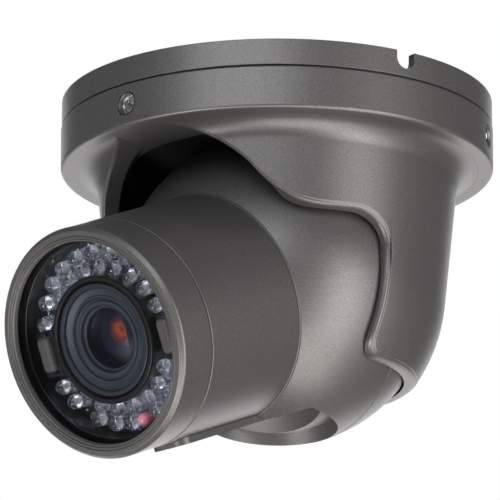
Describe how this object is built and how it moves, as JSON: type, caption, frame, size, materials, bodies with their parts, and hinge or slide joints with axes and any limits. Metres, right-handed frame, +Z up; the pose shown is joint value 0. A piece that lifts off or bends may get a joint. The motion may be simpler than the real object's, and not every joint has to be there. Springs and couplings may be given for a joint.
{
  "type": "turret cctv camera",
  "caption": "Ceiling-mounted turret security camera: a ball with an infrared-lit bullet lens barrel that tilts in a swivelling metal cover on a round base.",
  "frame": {"origin": "centre of the ceiling face of the base", "axes": "+Z up into the ceiling and along the pan axis, camera looking along -Y and downwards, tilt axis along X"},
  "size_m": [0.146, 0.1765, 0.1378],
  "materials": {
    "coated_metal": "die-cast, dark warm-grey fine metallic powder coat, satin",
    "black_rubber": "matt",
    "brown_rubber": "satin",
    "nylon": "matt",
    "steel": "plain",
    "black_plastic": "matt",
    "black_metal": "black anodised",
    "window_glass": "polished",
    "lens_glass": "coated",
    "dark_board": "solder mask",
    "green_board": "solder mask",
    "clear_lamp": "clear epoxy",
    "red_sensor": "clear epoxy",
    "brass": "plain"
  },
  "bodies": {
    "base": {"mount_base": "coated_metal", "ceiling_gasket": "black_rubber", "seam_gasket": "black_rubber", "pan_slip_ring": "nylon", "cable_grommet": "black_rubber"},
    "turret": {"turret_cover": "coated_metal", "set_screws": "steel", "ball_clamp_ring": "black_plastic", "friction_ring": "black_rubber", "clamp_screws": "steel", "pan_stop_post": "steel"},
    "head": {"ball_front_shell": "coated_metal", "ball_rear_shell": "coated_metal", "ball_seals": "black_rubber", "ball_screws": "steel", "tilt_pivots": "steel", "ball_grommet": "black_rubber", "barrel_tube": "coated_metal", "barrel_screws": "steel", "access_cover": "coated_metal", "access_gasket": "black_rubber", "access_screws": "steel", "front_cap": "coated_metal", "cap_o_ring": "black_rubber", "window_glass": "window_glass", "window_gasket": "black_rubber", "window_retainer": "black_metal", "led_board": "dark_board", "led_board_screws": "steel", "outer_leds": "clear_lamp", "inner_leds": "clear_lamp", "light_sensor": "red_sensor", "board_spacers": "brown_rubber", "lens_hood": "black_plastic", "lens_barrel": "black_metal", "front_element": "lens_glass", "iris_unit": "black_plastic", "rear_element": "lens_glass", "lens_bracket": "black_plastic", "bracket_screws": "steel", "sensor_board": "green_board", "image_sensor": "black_plastic", "sensor_standoffs": "brass", "main_board": "green_board", "video_chip": "black_plastic", "power_board": "green_board", "power_capacitors": "black_plastic", "board_standoffs": "brass"},
    "zoom_control": {"zoom_ring": "black_metal", "zoom_lock_screw": "steel"},
    "focus_control": {"focus_ring": "black_metal", "focus_lock_screw": "steel"}
  },
  "joints": [
    {"name": "pan", "type": "hinge", "parent": "base", "child": "turret", "pos_m": [0, 0, 0], "axis": [0, 0, 1], "range_deg": [-175, 175]},
    {"name": "tilt", "type": "hinge", "parent": "turret", "child": "head", "pos_m": [0, 0, -0.0648], "axis": [1, 0, 0], "range_deg": [-23, 67]},
    {"name": "zoom_turn", "type": "hinge", "parent": "head", "child": "zoom_control", "pos_m": [0, 0, -0.0648], "axis": [0, -0.9205, -0.3907], "range_deg": [-35, 35]},
    {"name": "focus_turn", "type": "hinge", "parent": "head", "child": "focus_control", "pos_m": [0, 0, -0.0648], "axis": [0, -0.9205, -0.3907], "range_deg": [-35, 35]}
  ]
}
